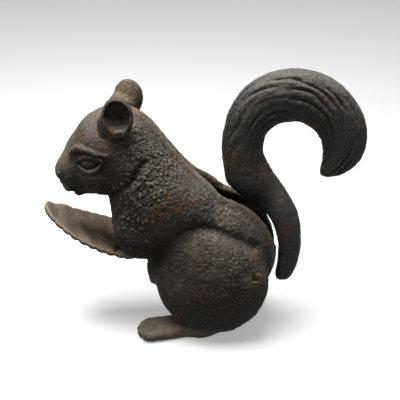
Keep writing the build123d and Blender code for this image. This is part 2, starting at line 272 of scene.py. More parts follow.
def welt(p, rows):
    """Round bead along a smooth line in space. A row is x, y, z and the bead's radius there."""
    line = supple(rows)
    best = None
    for start, end in zip(line, line[1:]):
        run = end[:3] - start[:3]
        reach = sum((axis - a) * r for axis, a, r in zip(p, start, run)) / float(run @ run)
        reach = np.clip(reach, 0, 1)
        gap = np.sqrt(sum((axis - a - reach * r) ** 2 for axis, a, r in zip(p, start, run)))
        gap = gap - start[3] - reach * (end[3] - start[3])
        best = gap if best is None else np.minimum(best, gap)
    return best


def sculpted(name, form, low, mirrored=False):
    """Object with the surface of a form on a grid that starts at a low corner."""
    grid = openvdb.FloatGrid(4.0)
    grid.copyFromArray(np.ascontiguousarray(np.clip(form, -4, 4), dtype=np.float32))
    points, triangles, quads = grid.convertToPolygons(0.0, 0.0)
    points = points * STEP + np.array(low, dtype=np.float32)
    faces = [*quads.tolist(), *triangles.tolist()]
    if mirrored:
        points = points * (1, -1, 1)
        faces = [face[::-1] for face in faces]
    return mesh_object(name, points, [], faces)


def mesh_object(name, points, edges, faces):
    """Object at the origin with its place in its mesh."""
    mesh = bpy.data.meshes.new(name)
    mesh.from_pydata((np.asarray(points) * MM).tolist(), edges, faces)
    mesh.validate()
    made = bpy.data.objects.new(name, mesh)
    bpy.context.scene.collection.objects.link(made)
    return made


def paint(made, name, values):
    """Store one number or vector for each vertex."""
    kind, key = ("FLOAT", "value") if values.ndim == 1 else ("FLOAT_VECTOR", "vector")
    layer = made.data.attributes.new(name, kind, "POINT")
    layer.data.foreach_set(key, values.astype(np.float32).ravel())


def settle(made):
    """Turn an object's modifiers into its plain mesh."""
    graph = bpy.context.evaluated_depsgraph_get()
    mesh = bpy.data.meshes.new_from_object(made.evaluated_get(graph))
    made.modifiers.clear()
    made.data = mesh
    mesh.name = made.name


def vertices(made):
    """Vertex places in millimetres."""
    flat = np.empty(len(made.data.vertices) * 3, np.float32)
    made.data.vertices.foreach_get("co", flat)
    return flat.reshape(-1, 3) / MM


# ---------- node building
NUMBER = "NodeSocketFloat"
ARROW = "NodeSocketVector"
SHAPE = "NodeSocketGeometry"
STUFF = "NodeSocketMaterial"


class Wire:
    """Output of a node. Sums with it make the maths nodes for them."""

    def __init__(self, plug):
        self.plug = plug
        self.tree = plug.id_data
        self.is_arrow = plug.type in ("VECTOR", "RGBA")

    def __add__(self, other):
        return work("ADD", self, other)

    def __sub__(self, other):
        return work("SUBTRACT", self, other)

    def __rsub__(self, other):
        return work("SUBTRACT", other, self)

    def __mul__(self, other):
        return work("SCALE" if self.is_arrow else "MULTIPLY", self, other)

    def __truediv__(self, other):
        return work("DIVIDE", self, other)

    def __rtruediv__(self, other):
        return work("DIVIDE", other, self)


def new_tree(name, kind, inputs, outputs):
    """Node group. An input is named with its starting value, or with its kind of socket."""
    tree = bpy.data.node_groups.new(name, kind)
    for label, value in inputs.items():
        bare = isinstance(value, str)
        sort = value if bare else "NodeSocketInt" if isinstance(value, int) else NUMBER
        plug = tree.interface.new_socket(label, in_out="INPUT", socket_type=sort)
        if not bare:
            plug.default_value = value
    for label, sort in outputs.items():
        tree.interface.new_socket(label, in_out="OUTPUT", socket_type=sort)
    given = {plug.name: Wire(plug) for plug in tree.nodes.new("NodeGroupInput").outputs if plug.name}
    return tree, given, tree.nodes.new("NodeGroupOutput").inputs


def shape_tree(name, inputs):
    """Geometry tree that takes a shape and gives one back."""
    return new_tree(name, "GeometryNodeTree", {"Geometry": SHAPE, **inputs}, {"Geometry": SHAPE})


def mask_tree(name, inputs, *outputs):
    """Shader group that makes masks and heights of a place, with the place in millimetres."""
    inputs = {"Place": ARROW, **inputs, "Seed": 0.0}
    tree, given, result = new_tree(name, "ShaderNodeTree", inputs, dict.fromkeys(outputs, NUMBER))
    return tree, given["Place"] * PER_METRE, given, result


def node(tree, kind, *inputs, **settings):
    """Node with its settings, and its open inputs wired or set in order."""
    made = tree.nodes.new(kind)
    for key, value in settings.items():
        setattr(made, key, value)
    for plug, value in zip([p for p in made.inputs if p.enabled], inputs):
        if isinstance(value, Wire):
            tree.links.new(value.plug, plug)
        elif value is not None:
            plug.default_value = value
    return made


def wire(tree, kind, *inputs, take=None, **settings):
    """Wire from a new node: from its first open output, or from the one to take."""
    plugs = node(tree, kind, *inputs, **settings).outputs
    return Wire(plugs[take] if take else next(plug for plug in plugs if plug.enabled))


def link(source, plug):
    source.tree.links.new(source.plug, plug)


def work(operation, *inputs):
    """Maths on wires and numbers, in arrows where the first wire is one."""
    lead = next(value for value in inputs if isinstance(value, Wire))
    kind = "ShaderNodeVectorMath" if lead.is_arrow else "ShaderNodeMath"
    return wire(lead.tree, kind, *inputs, operation=operation)


def smaller(a, b):
    return work("MINIMUM", a, b)


def larger(a, b):
    return work("MAXIMUM", a, b)


def ramp(value, low, high):
    """Smooth step from 0 at low to 1 at high."""
    return wire(value.tree, "ShaderNodeMapRange", value, low, high, 0.0, 1.0,
                interpolation_type="SMOOTHSTEP")


def cloud(place, size, seed, detail=2.0, roughness=0.5):
    """Seeded noise from 0 to 1, with features of about the given size."""
    return wire(place.tree, "ShaderNodeTexNoise", place, seed, 1.0 / size, detail, roughness,
                noise_dimensions="4D")


def dome(share):
    """Height of a quarter circle: 0 where the share is 0, and 1 from where it is 1."""
    closing = work("POWER", 1.0 - smaller(share, 1.0), 2.0)
    return work("SQRT", larger(1.0 - closing, 0.0))


def named(tree, name, kind="FLOAT"):
    """Attribute of the mesh."""
    return wire(tree, "GeometryNodeInputNamedAttribute", name, data_type=kind)


def store(shape, name, value):
    """Shape with a number stored at each of its points."""
    return wire(shape.tree, "GeometryNodeStoreNamedAttribute", shape, True, name, value, data_type="FLOAT",
                domain="POINT")


def place_in_mm(tree):
    """Place on the shape in millimetres."""
    return wire(tree, "GeometryNodeInputPosition") * PER_METRE


def cast_skin(place, given):
    """Heights of the lumps and of the grain of a casting."""
    lumps = cloud(place, given["Lump Size"], given["Seed"]) - 0.5
    grain = cloud(place, given["Grain Size"], given["Seed"], 3.0, 0.6) - 0.5
    return lumps * (given["Lump Height"] * 2.0), grain * (given["Grain Height"] * 2.0)


def finished(shape, height, wear_map, reach, metal):
    """Shape pushed out by a height in millimetres, with its wear mapped and its metal set."""
    tree = shape.tree
    shift = wire(tree, "GeometryNodeInputNormal") * (height * MM)
    shape = wire(tree, "GeometryNodeSetPosition", shape, True, None, shift)
    shape = wire(tree, "GeometryNodeGroup", shape, reach, node_tree=wear_map)
    shape = wire(tree, "GeometryNodeSetShadeSmooth", shape, True, True)
    shape = wire(tree, "GeometryNodeRealizeInstances", shape)
    return wire(tree, "GeometryNodeSetMaterial", shape, True, metal)


def grow(made, tree, **sizes):
    """Run a geometry tree on an object with its inputs set, and keep the result as its mesh."""
    modifier = made.modifiers.new(tree.name, "NODES")
    modifier.node_group = tree
    for item in tree.interface.items_tree:
        key = item.name.replace(" ", "_").lower()
        if item.in_out == "INPUT" and key in sizes:
            modifier[item.identifier] = sizes[key]
    settle(made)


# ---------- geometry trees
def wear_map_tree():
    """Map of how far each point stands out from the iron round it, in millimetres."""
    tree, given, result = shape_tree("wear_map", {"Reach": 10})
    place = wire(tree, "GeometryNodeInputPosition")
    flat = wire(tree, "GeometryNodeBlurAttribute", place, given["Reach"], data_type="FLOAT_VECTOR")
    stand = work("DOT_PRODUCT", place - flat, wire(tree, "GeometryNodeInputNormal"))
    link(store(given["Geometry"], "raised", stand * PER_METRE), result["Geometry"])
    return tree


def coat_tree(wear_map):
    """Fur tufts over a cast surface, where its fur attribute asks for them, and the cast grain."""
    tree, given, result = shape_tree("fur_coat", {
        "Tuft Spacing": 2.1, "Tuft Length": 4.6, "Tuft Width": 1.5, "Tuft Depth": 0.62, "Tuft Swirl": 4.4,
        "Swirl Scale": 0.45, "Crack Depth": 0.35, "Crack Spacing": 4.5, "Lump Size": 7.0,
        "Lump Height": 0.3, "Grain Size": 1.6, "Grain Height": 0.5, "Seed": 1, "Iron": STUFF})
    seed = given["Seed"]
    place = place_in_mm(tree)
    fur = named(tree, "fur")
    swirl = wire(tree, "ShaderNodeTexNoise", place, seed, given["Swirl Scale"], 2.0, take="Color",
                 noise_dimensions="4D")
    swept = place + (swirl - (0.5, 0.5, 0.5)) * given["Tuft Swirl"]
    tufted = work("GREATER_THAN", fur, 0.04)
    tufts = wire(tree, "GeometryNodeDistributePointsOnFaces", given["Geometry"], tufted,
                 given["Tuft Spacing"] * MM, 2e6, 1.0, seed, distribute_method="POISSON")
    nearest = wire(tree, "GeometryNodeSampleNearest", tufts, swept * MM, domain="POINT")

    def of_tuft(value):
        """Value at the root of the nearest tuft."""
        return wire(tree, "GeometryNodeSampleIndex", tufts, value, nearest, data_type="FLOAT_VECTOR")

    root = of_tuft(place)
    lay = of_tuft(named(tree, "lay", "FLOAT_VECTOR"))
    offset = swept - root
    chance = wire(tree, "ShaderNodeTexWhiteNoise", root, noise_dimensions="3D")
    ahead = work("DOT_PRODUCT", offset, lay)
    aside = work("LENGTH", offset - lay * ahead)
    climb = ramp(ahead / given["Tuft Length"], -0.5, 0.45)
    tuft = climb * (1.0 - work("POWER", aside / given["Tuft Width"], 2.0))
    tuft = larger(tuft, -0.3) * (chance + 0.45)
    tuft = (tuft - 0.45) * (given["Tuft Depth"] * fur)
    vein = work("ABSOLUTE", cloud(swept, given["Crack Spacing"], seed) - 0.5)
    crack = (ramp(vein, 0.0, 0.06) - 1.0) * given["Crack Depth"]
    lumps, grain = cast_skin(place, given)
    height = tuft + crack * fur + (lumps + grain) * named(tree, "outside")
    link(finished(given["Geometry"], height, wear_map, 10, given["Iron"]), result["Geometry"])
    return tree


def tail_tree(wear_map):
    """Tail swept through its sections, with grooves of long hair that follow it."""
    tree, given, result = shape_tree("combed_tail", {
        "Rings": 430, "Around": 200, "End Radius": 4.0, "Groove Spacing": 4.0, "Groove Depth": 1.15,
        "Strand Length": 26.0, "Drift": 0.22, "Waviness": 1.6, "Lump Size": 6.0, "Lump Height": 0.5,
        "Grain Size": 2.0, "Grain Height": 0.4, "Seed": 3, "Iron": STUFF})
    path = wire(tree, "GeometryNodeMeshToCurve", given["Geometry"])
    path = wire(tree, "GeometryNodeCurveSplineType", path, spline_type="CATMULL_ROM")
    path = wire(tree, "GeometryNodeSetSplineResolution", path, True, 16)
    length = wire(tree, "GeometryNodeCurveLength", path) * PER_METRE
    grid = wire(tree, "GeometryNodeMeshGrid", 1.0, 1.0, given["Rings"], given["Around"])
    corner = wire(tree, "GeometryNodeInputPosition")
    share = wire(tree, "ShaderNodeSeparateXYZ", corner, take="X") + 0.5
    turn = (wire(tree, "ShaderNodeSeparateXYZ", corner, take="Y") + 0.5) * (2 * math.pi)

    def sampled(name, kind="FLOAT"):
        """Attribute of the sections, at the place along the path."""
        value = named(tree, name, kind)
        return wire(tree, "GeometryNodeSampleCurve", path, value, share, data_type=kind, mode="FACTOR")

    middle = wire(tree, "GeometryNodeSampleCurve", path, None, share, take="Position", mode="FACTOR")
    reach = sampled("reach", "FLOAT_VECTOR")
    half = sampled("half")
    run = share * length
    closing = dome(smaller(run, length - run) / given["End Radius"])
    lengthways = work("COSINE", turn)
    power = 2.0 / (sampled("flat") * work("LESS_THAN", lengthways, 0.0) + 2.0)

    def squared(value):
        """Value bent so that the section's inner side gets flatter."""
        return work("POWER", work("ABSOLUTE", value), power) * work("SIGN", value)

    across = squared(lengthways)
    outward = squared(work("SINE", turn))
    flank = outward * closing * (half * -1.0)
    place = middle + reach * (across * closing) + wire(tree, "ShaderNodeCombineXYZ", 0.0, flank, 0.0)
    girth = (work("LENGTH", reach) + half) * (PER_METRE / 2 * math.pi)
    crossing = work("ARCCOSINE", across * -1.0) / math.pi
    shape = store(grid, "run", run)
    shape = store(shape, "crossing", crossing * girth)
    shape = store(shape, "side", outward)
    shape = store(shape, "hair", sampled("hair"))
    shape = wire(tree, "GeometryNodeSetPosition", shape, True, place)
    shape = wire(tree, "GeometryNodeMergeByDistance", shape, True, 1e-5)

    seed = given["Seed"]
    run = named(tree, "run")
    width = named(tree, "crossing")
    side = named(tree, "side")
    hair = named(tree, "hair")

    def strand(long, wide, detail=1.0):
        """Noise drawn out along the tail."""
        place = wire(tree, "ShaderNodeCombineXYZ", run / long, width / wide, side)
        return cloud(place, 1.0, seed, detail) - 0.5

    wave = strand(30.0, 12.0) * (given["Waviness"] * 2.0)
    phase = (width - run * given["Drift"]) / given["Groove Spacing"] + wave
    lock = larger(work("SINE", work("FRACT", phase) * math.pi), 0.0)
    fade = ramp(strand(given["Strand Length"], 6.0), -0.16, 0.2)
    groove = (work("POWER", lock, 0.85) - 1.0) * (fade * hair)
    fine = strand(11.0, 1.3, 2.0) * (hair * 0.6)
    lumps, grain = cast_skin(place_in_mm(tree), given)
    height = groove * given["Groove Depth"] + (fine + lumps) + grain
    link(finished(shape, height, wear_map, 12, given["Iron"]), result["Geometry"])
    return tree


def rivet_tree(wear_map):
    """Round rivet along each line of the mesh, its ends domed and hammered."""
    tree, given, result = shape_tree("peened_rivet", {
        "Radius": 2.0, "Dome": 0.9, "Sides": 40, "Hammer Size": 1.3, "Hammer Height": 0.22, "Seed": 5,
        "Steel": STUFF})
    path = wire(tree, "GeometryNodeMeshToCurve", given["Geometry"])
    run = wire(tree, "GeometryNodeSplineParameter", take="Length")
    length = wire(tree, "GeometryNodeSplineLength")
    width = dome(smaller(run, length - run) / (given["Dome"] * MM))
    ring = wire(tree, "GeometryNodeCurvePrimitiveCircle", given["Sides"], given["Radius"] * MM)
    shape = wire(tree, "GeometryNodeCurveToMesh", path, ring, width, False)
    shape = wire(tree, "GeometryNodeMergeByDistance", shape, True, 1e-6)
    marks = cloud(place_in_mm(tree), given["Hammer Size"], given["Seed"]) - 0.6
    height = marks * given["Hammer Height"]
    link(finished(shape, height, wear_map, 4, given["Steel"]), result["Geometry"])
    return tree


# ---------- body halves
def body_form(p):
    """Smooth outer form of the body, without its ears and feet."""
    head = melt(melted(p, HEAD, HEAD_FILLET), egg(p, *CHEEK), FORM_FILLET)
    form = melt(melted(p, TRUNK, TRUNK_FILLET), head, FORM_FILLET)
    form = melt(form, melted(p, ARM, ARM_FILLET), ARM_FILLET)
    form = melt(form, egg(p, *HAUNCH), FORM_FILLET)
    return melt(form, egg(p, *BELLY), FORM_FILLET)


def by_back(x, z, reach):
    """1 along the line of the back, 0 away from it."""
    return np.clip(1.5 - line_distance(x, z, BACK_LINE) / reach, 0, 1)


def slot_opening(x):
    """How far the slot in the back has opened: 0 in front of it, 1 where it has its full width."""
    return rise(x, SLOT_MOUTH[0], SLOT_MOUTH[1] - SLOT_MOUTH[0])


def carving(p):
    """Height of the creases and of the raised lips of the seam, over the smooth form."""
    x, y, z = p
    height = sum(-depth * bump(line_distance(x, z, line), width) for line, depth, width in CREASES)
    ripples = np.sin(2.9 * x + 0.5 * z + 1.2 * np.sin(z / 2.5))
    height = height + 0.3 * patch(x, z, (-45, 96), 9, 8) * ripples
    lip = 2.4 + 5.6 * rise(x, -1, 14)  # its place beside the seam and the slot
    lips = 1.2 * bump(y - lip, 1.2) - 0.4 * bump(y - lip - 2.6, 1.2)
    return height * rise(y, 4, 4) + by_back(x, z, 8) * lips


def ear(p):
    """Round ear with a deep cup on its outer face and a lobe below it."""
    (x, y, z), radii = EAR
    q = (p[0] - x, *turned(p[1] - y, p[2] - z, -EAR_LEAN))
    flap = melt(egg(q, (0, 0, 0), radii), egg(p, *EAR_ROOT), 1.5)
    cup = egg(q, (0.2, 4.9, 0.6), (radii[0] - 0.6, 6.5, radii[2] - 1.2))
    lobe = egg(q, (1.2, 1.4, -7.6), (4.4, 2.6, 2.4))
    return melt(cut(flap, cup, 0.4), lobe, 1.6)


def face_carving(form, p):
    """Eye, brow, nose, lips and ear, worked into the head."""
    cuts, q = nook(p, (-80, -1.5, 80), (-24, 31, 145))
    head = cut(form[cuts], egg(q, *EYE_SOCKET), 1.6)
    head = melt(head, egg(q, *EYEBALL), 0.3)
    head = melt(head, welt(q, BROW), 1.2)
    head = melt(head, welt(q, UPPER_LID), 0.5)
    head = melt(head, welt(q, LOWER_LID), 0.8)
    head = melt(head, egg(q, *NOSE), 1.6)
    head = cut(head, egg(q, *NOSTRIL), 0.6)
    head = cut(head, egg(q, *NOSE_NOTCH), 0.8)
    head = melt(head, egg(q, *UPPER_LIP), 1.2)
    head = melt(head, egg(q, *LOWER_LIP), 1.6)
    form[cuts] = melt(head, ear(q), 1.6)
    return form


def foot(p, side):
    """Flat foot with toes, rising to the leg."""
    (x, y), splay = TOES[side]
    u, v = turned(p[0] - x, p[1] - y, -splay)
    run = FOOT_LENGTH - FOOT_HALF - HEEL_HALF
    share = rise(u, FOOT_HALF, run)
    plan = np.sqrt((u - FOOT_HALF - share * run) ** 2 + v ** 2) - FOOT_HALF
    a = plan + share * (FOOT_HALF - HEEL_HALF) + FOOT_EDGE
    top = 6.4 + 2.2 * rise(u, 0, 26) ** 1.5  # height of the foot
    b = np.abs(p[2] - top / 2) - top / 2 + FOOT_EDGE
    pad = np.sqrt(np.maximum(a, 0) ** 2 + np.maximum(b, 0) ** 2)
    pad = pad + np.minimum(np.maximum(a, b), 0) - FOOT_EDGE
    toe_gaps = sum(bump(v - w, 0.75) for w in (-TOE_PITCH, 0, TOE_PITCH))
    pad = pad + 1.3 * toe_gaps * np.clip(1.4 - u / 4, 0, 1) * np.clip(1.5 - p[2] / 7, 0.15, 1)
    pad = pad + 0.35 * bump(p[2] - 2.2, 0.7)
    leg = np.maximum(np.sqrt((u - LEG_PLACE) ** 2 + v ** 2) - LEG_RADIUS, p[2] - LEG_TOP)
    return np.maximum(melt(pad, leg, 5), -p[2])


def slot_mouth(p, smooth):
    """Wedge that leads from the seam into the front end of the slot."""
    opening = slot_opening(p[0])
    wedge = np.maximum(p[1] - SLOT_HALF * opening, -smooth - 5 * opening)
    return wedge + np.where(p[0] < SLOT_MOUTH_END, 0, 9)


def body_sculpture():
    """Form of one half without its foot, the hollow inside it, and the grid they are on."""
    low = (-80, -1.5, -1.5)
    p = room(low, (47, 31, 145))
    smooth = body_form(p)
    hollow = smooth + WALL
    hollow = np.maximum(hollow, -np.maximum(rod(p, PIVOT, BOSS_RADIUS), BOSS_FACE - p[1]))
    for place, radius in (HEAD_RIVET, RUMP_RIVET):
        hollow = np.maximum(hollow, -rod(p, place, radius + RIVET_BOSS))
    form = face_carving(smooth - carving(p), p)
    form = melt(form, egg(p, *NUB), 1.5)
    return low, p, cut(form, slot_mouth(p, smooth), 1.5), hollow


def window_outline(back):
    low, high = WINDOW
    return [(-FAR, low), (back, low), (back, high), (-FAR, high)]


def body_half(side, sculpture):
    """One cast half: the form with its foot, less the hollow, the window, the slot and the holes."""
    low, p, form, hollow = sculpture
    form = form.copy()
    cuts, q = nook(p, (-60, -1.5, -1.5), (47, 31, 30))
    form[cuts] = melt(form[cuts], foot(q, side), 3)
    form = cut(form, hollow, 0.8)
    for outline, half, edge in (
        (window_outline(TRAY_ROOM_BACK), TRAY_ROOM_HALF, 2.4),
        (window_outline(FOREARM_SLOT_BACK), FOREARM_SLOT_HALF, 2.0),
        (SLEEVE_EDGE, FAR, 1.2),
        (BACK_SLOT, SLOT_HALF, 2.6),
    ):
        form = cut(form, np.maximum(outline_distance(p[0], p[2], outline), p[1] - half), edge)
    form = cut(form, np.maximum(rod(p, PIVOT, PIN_RADIUS), p[1] - PIN_SINK - BORE_SPARE), 0.3)
    for rivet in (HEAD_RIVET, RUMP_RIVET):
        form = cut(form, rod(p, *rivet), 0.3)
    form = cut(form, p[1] - SEAM, 1.15)
    made = sculpted(side + "_body_half", form, low, mirrored=side == "left")
    inner_wall(made)
    return made


def folded(made):
    """Vertex places as three arrays: x, the distance from the seam plane, and z."""
    x, y, z = vertices(made).T
    return x, np.abs(y), z


def inner_wall(made):
    """Thin out the mesh of the hollow inside."""
    inside = body_form(folded(made)) < -INNER_DEPTH
    group = made.vertex_groups.new(name="inner wall")
    group.add(np.flatnonzero(inside).tolist(), 1.0, "REPLACE")
    modifier = made.modifiers.new("thin", "DECIMATE")
    modifier.vertex_group = group.name
    modifier.ratio = 1 - INNER_THINNING * float(inside.mean())
    settle(made)
    made.vertex_groups.clear()


# Hair of the coat over the side view: x, z, half width, half height, strength.
FUR_PATCHES = [
    (-28, 88, 21, 24, 1.0), (-44, 96, 9, 9, 0.5), (-27, 66, 15, 14, 0.7), (-32, 118, 9, 11, 0.55),
    (6, 80, 30, 15, 0.26), (9, 38, 34, 34, 0.35), (-20, 105, 14, 15, 0.85), (-55, 92, 8, 6, 0.3),
]
# Way the hair lies: x, z, angle in degrees from +X towards +Z.
HAIR_LAY = [
    (-47, 95, -92), (-34, 119, -25), (-20, 108, -48), (-30, 88, -118), (-30, 66, -110), (-8, 88, -45),
    (10, 82, -30), (30, 70, -50), (0, 45, -70), (30, 40, -95),
]
# Places painted brighter, partly for rubbing and partly as painted highlight, as on the forehead: x, z,
# radius, strength.
RUBBED_AND_PAINTED_LIGHT_SPOTS = [
    (34, 46, 5.5, 0.75), (-24.5, 29, 5, 0.8), (-15, 78, 12, 0.2), (-25, 86, 9, 0.15), (8, 58, 14, 0.25),
    (-9, 42, 9, 0.3), (-50, 126, 11, 0.5),
]
# Painted shade, places kept dark in the eye socket, at the nostril and under the mouth: x, z, radius,
# strength.
SHADED = [(-54.5, 107.5, 7.0, 0.9), (-74.5, 94.5, 3.5, 1.2), (-58, 91, 8, 0.5)]


def coat(made):
    """Attributes of a body half: where it has fur, how the fur lies, where it is painted brighter for
    rubbing and highlight, and where painted shade darkens it.
    """
    x, y, z = folded(made)
    depth = body_form((x, y, z))
    outside = rise(depth, -3, 1.2) * rise(y, 0.15, 0.5)
    fur = np.zeros_like(x)
    for px, pz, wide, high, strength in FUR_PATCHES:
        fur = np.maximum(fur, strength * patch(x, z, (px, pz), wide, high))
    paint(made, "fur", fur * outside * (rise(depth, 1.2, -1.2) * rise(y, 3, 4)))
    paint(made, "outside", outside * rise(z, 0, 0.8))
    turn = np.zeros((len(x), 2))
    for px, pz, angle in HAIR_LAY:
        pull = 1 / (((x - px) ** 2 + (z - pz) ** 2) + 20) ** 1.5
        way = math.radians(angle)
        turn += pull[:, None] * np.array([math.cos(way), math.sin(way)])
    turn /= np.linalg.norm(turn, axis=1)[:, None]
    paint(made, "lay", np.insert(turn, 1, 0, axis=1))

    # Painted brighter, partly rubbing and partly painted highlight: the slot lips, the foot edges, the
    # snout and the ear tops.
    slot_lips = 1.1 * by_back(x, z, 7) * bump(y - 2.0 - 5.2 * slot_opening(x), 2.0)
    foot_edge = 1.05 * rise(z, 12, -4) * rise(depth, -0.5, 2)
    snout = 0.8 * rise(x, -58, -12) * rise(z, 96, 10)
    ear_tops = 1.3 * rise(z, 128, 6) * rise(y, 16.5, -2)
    spots = [strength * spot(x, z, (px, pz), radius, radius) for px, pz, radius, strength in RUBBED_AND_PAINTED_LIGHT_SPOTS]
    rubbed_and_painted_light = np.max([*spots, slot_lips, foot_edge, snout, ear_tops], axis=0)
    # Painted shade takes the brightening out again at the eye, the nostril and the mouth.
    for px, pz, radius, strength in SHADED:
        rubbed_and_painted_light = rubbed_and_painted_light - strength * spot(x, z, (px, pz), radius, radius) * (y > 4)
    paint(made, "worn", rubbed_and_painted_light * outside)

    # Painted shade: black inside the hollow, in the back slot, in the ear cups, under the arms and under
    # the haunches.
    ear_cup = 1.1 * spot(x, z, (-38, 134.5), 7.746, 8.66) * rise(y, 12.5, 1.5) * (y < 19.8)
    under_arm = 0.95 * spot(x, z, (-27, 55), 20, 10.954) * (y > 5)
    under_haunch = 0.6 * rise(z, 24, -12) * rise(y, 12, 6) * rise(depth, 0.5, -1)
    in_slot = rise(x, 11, 5) * rise(y, 7, -1.2) * rise(depth, -0.6, -1.2)
    paint(made, "painted_shade", np.max([1 - outside, in_slot, ear_cup, under_arm * outside, under_haunch], axis=0))


def plain_coat(made, worn, painted_shade):
    """Attributes of a cast piece without fur."""
    count = len(painted_shade)
    paint(made, "painted_shade", painted_shade)
    paint(made, "worn", worn)
    paint(made, "fur", np.zeros(count))
    paint(made, "outside", np.ones(count))
    paint(made, "lay", np.tile([1.0, 0.0, 0.0], (count, 1)))


# ---------- tail lever
# Sections of the tail from its foot to its tip: crest edge, hollow edge, half width, hair, flatness.
TAIL_SECTIONS = [
    ((44.8, 32), (53, 31.6), 5, 0, 1.5),
    ((46.2, 42), (57.2, 43), 6.8, 0, 1.8),
    ((45.9, 55), (58.5, 57), 7.4, 0, 1.8),
    ((42.3, 68.5), (56.3, 72.5), 7.8, 0.05, 1.5),
    ((35.9, 78.8), (52.2, 82), 8.2, 0.15, 0.8),
    ((26.9, 84), (48.2, 88.7), 8.6, 0.3, 0.3),
    ((17, 91.8), (44.2, 94.7), 9, 0.35, 0),
    ((14.6, 99.5), (39.6, 101.2), 9, 0.4, 0),
    ((13.2, 110), (35.2, 110), 9, 0.5, 0),
    ((13.4, 120), (35.6, 119.2), 9, 0.75, 0),
    ((16.8, 133.8), (37.6, 123.2), 9.2, 1, 0),
    ((25.5, 146.6), (41.6, 126.4), 9.4, 1, 0),
    ((38, 153.6), (46.3, 127.9), 9.6, 1, 0),
    ((52, 155.3), (51.8, 128.1), 9.6, 1, 0),
    ((66.3, 151.2), (57.6, 126.1), 9.6, 1, 0),
    ((78.6, 141.4), (62.4, 121.2), 9.4, 1, 0),
    ((86.5, 127.6), (65.4, 114.5), 9.2, 1, 0),
    ((87.2, 113.5), (66, 107.6), 8.6, 1, 0),
    ((82.8, 104.6), (65.5, 100.5), 7.4, 0.9, 0),
    ((75.2, 99.2), (66.6, 97), 4, 0.6, 0),
]
HUB_TOP = (PIVOT[0], PIVOT[1] + HUB_RADIUS)
HUB_FOOT = (PIVOT[0], PIVOT[1] - HUB_RADIUS)
WEB_OUTLINE = [HUB_TOP, (16, 74), (36, 81), (41, 77.3), HUB_FOOT]
TRAY_PLACE = (-57.5, 56)
TRAY_SLOPE = 25.4
TRAY_BACK = -22
TRAY_TIP = 34
WRIST = -10.5  # where the forearm ends along the tray
# Half of the outline of the tray: place along it and half width.
TRAY_EDGE = [(TRAY_BACK, 11.5), (-21, 14.2), (-18.5, 15.5), (-14, 15.5), (-8.5, 17.4), (-4, 17.8),
             (2, 17), (8, 15.7), (14, 13.8), (20, 11.6), (26, 8.8), (31, 5.4), (33.3, 2.5),
             (TRAY_TIP, 0.0)]
# Eggs of the tray, in its own frame: its hollow and its outer wall.
DISH = ((0, 0, 24), (50, 29, 24))
DISH_WALL = ((0, 0, 24), (53, 32, 27))
FINGER_PITCH = 5.4


def tail(tree, iron):
    """Tail grown through its sections, darkened with painted shade by the back and the rump, and painted
    brighter above them for rubbing and highlight.
    """
    crest, hollow, half, hair, flat = (np.array(column) for column in zip(*TAIL_SECTIONS))
    middles = np.insert((crest + hollow) / 2, 1, 0, axis=1)
    made = mesh_object("tail", middles, [(i, i + 1) for i in range(len(middles) - 1)], [])
    paint(made, "reach", np.insert((hollow - crest) / 2 * MM, 1, 0, axis=1))
    paint(made, "half", half * MM)
    paint(made, "hair", hair)
    paint(made, "flat", flat)
    grow(made, tree, iron=iron, seed=3)
    x, _, z = vertices(made).T
    # Painted shade where the tail passes behind the back and faces the rump; a spot on its front painted
    # brighter, partly rubbing and partly painted highlight.
    behind_back = rise(z, 98, -9) * rise(x, 42, -9)
    paint(made, "painted_shade", 1.2 * np.maximum(behind_back, spot(x, z, (40, 54), 6, 20)))
    paint(made, "worn", 0.55 * spot(x, z, (46, 80), 7, 13))
    return made


def tray_place(along, above):
    """Point in the seam plane from its place along the tray and square to it."""
    back, up = turned(-along, above, TRAY_SLOPE)
    return TRAY_PLACE[0] + back, TRAY_PLACE[1] + up


def tray_frame(p):
    """Coordinates along the tray, across it and square to it."""
    along, above = turned(TRAY_PLACE[0] - p[0], p[2] - TRAY_PLACE[1], TRAY_SLOPE)
    return along, p[1] + 0 * along, above


def lever_web():
    """Hub, web and forearm of the lever, darkened with painted shade where they are inside the body."""
    low = (-52, -11, 38)
    p = room(low, (44, 11, 86))
    q = tray_frame(p)
    end = [tray_place(WRIST, 9), tray_place(WRIST, -3), tray_place(TRAY_BACK, -3)]
    arm = block(p, [HUB_TOP, *end, HUB_FOOT], FOREARM_HALF, 3.0)
    form = melt(block(p, WEB_OUTLINE, WEB_HALF), arm, 2)
    form = cut(form, np.maximum(-egg(q, *DISH), TRAY_BACK - q[0]), 0.4)
    form = melt(form, np.maximum(rod(p, PIVOT, HUB_RADIUS), np.abs(p[1]) - HUB_HALF), 1.2)
    form = cut(form, rod(p, PIVOT, HUB_BORE) + 0 * p[1], 0.3)
    made = sculpted("lever_web", form, low)
    x = vertices(made)[:, 0]
    # Painted shade over the hub and web, less towards the tray.
    plain_coat(made, 0 * x, rise(x, 44, -4) * np.clip((x + 33) / 8, 0.3, 0.97))
    return made


